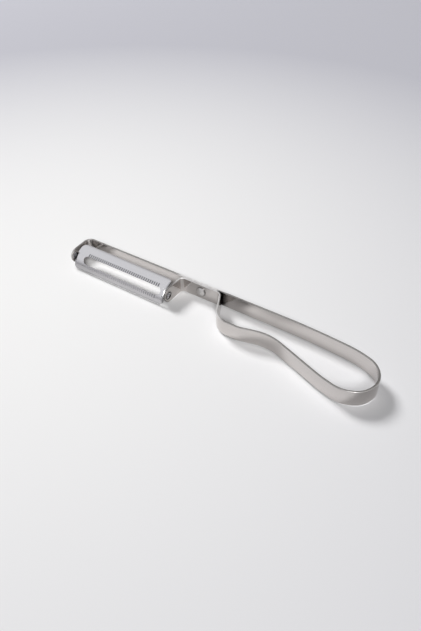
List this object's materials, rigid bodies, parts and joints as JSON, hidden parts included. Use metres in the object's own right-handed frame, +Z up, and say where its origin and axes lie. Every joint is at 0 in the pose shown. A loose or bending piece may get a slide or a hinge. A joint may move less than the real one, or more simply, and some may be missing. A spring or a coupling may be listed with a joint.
{
  "type": "vegetable peeler",
  "caption": "Swivel vegetable peeler: a bent steel band forms an open loop handle and two ears, and an arched slotted blade swings between them.",
  "frame": {"origin": "on the surface that the peeler lies on, under the middle of its length and width", "axes": "+X along the straight run from the blade's free end to the handle's loop, +Y towards the straight run's outer face, +Z up across the strip's width"},
  "size_m": [0.1768, 0.0276, 0.0096],
  "materials": {
    "band_steel": "satin, fine grain along the strip",
    "blade_steel": "fine matt satin, grain along the blade",
    "rivet_steel": "tumbled, half bright"
  },
  "bodies": {
    "band": {"handle_band": "band_steel", "rivet": "rivet_steel"},
    "blade": {"blade": "blade_steel"}
  },
  "joints": [
    {"name": "blade_swivel", "type": "hinge", "parent": "band", "child": "blade", "pos_m": [-0.05417, 0.00025, 0.00425], "axis": [1, 0, 0], "range_deg": [0, 98]}
  ]
}
